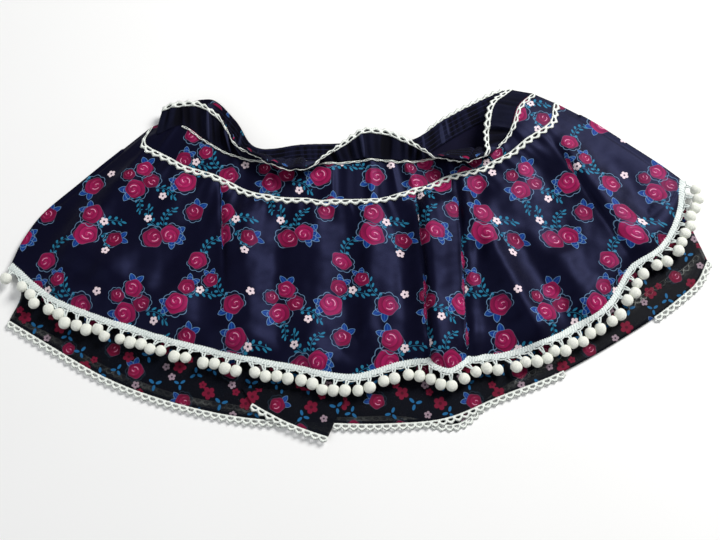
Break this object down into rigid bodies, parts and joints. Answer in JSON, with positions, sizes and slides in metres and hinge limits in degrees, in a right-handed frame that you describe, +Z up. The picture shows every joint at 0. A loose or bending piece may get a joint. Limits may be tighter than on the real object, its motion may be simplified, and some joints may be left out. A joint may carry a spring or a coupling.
{
  "type": "mini skirt",
  "caption": "Flat-laid mini skirt with an elastic band, floral yoke and flounce, picot lace, pompom trim and a sheer floral under-tier.",
  "frame": {"origin": "middle of the laid-out skirt's footprint, on the surface it lies on", "axes": "+X to the right seen with the waist at the top, +Y from hem to waist, +Z up off the surface"},
  "size_m": [0.7104, 0.3841, 0.0317],
  "materials": {
    "printed_satin": "navy satin with a floral print and a soft sheen",
    "navy_jersey": "matt navy, gathered on elastic",
    "printed_chiffon": "sheer, near black, with a sparse floral print",
    "picot_lace": "off-white crochet edging",
    "pompom_trim": "off-white braid with felted balls"
  },
  "bodies": {
    "root": {"waistband_front": "navy_jersey", "waistband_back": "navy_jersey", "yoke_front": "printed_satin", "yoke_back": "printed_satin", "flounce_front": "printed_satin", "flounce_back": "printed_satin", "under_tier_front": "printed_chiffon", "under_tier_back": "printed_chiffon", "under_tier_overlap": "printed_chiffon", "waist_lace_front": "picot_lace", "waist_lace_back": "picot_lace", "band_lace_front": "picot_lace", "band_lace_back": "picot_lace", "yoke_lace_front": "picot_lace", "yoke_lace_back": "picot_lace", "hem_lace_front_left": "picot_lace", "hem_lace_front_right": "picot_lace", "hem_lace_front_tucked": "picot_lace", "hem_lace_back": "picot_lace", "hem_lace_overlap": "picot_lace", "pompom_braid_front": "pompom_trim", "pompom_braid_back": "pompom_trim", "pompom_fringe_front": "pompom_trim", "pompom_fringe_back": "pompom_trim"}
  },
  "joints": []
}
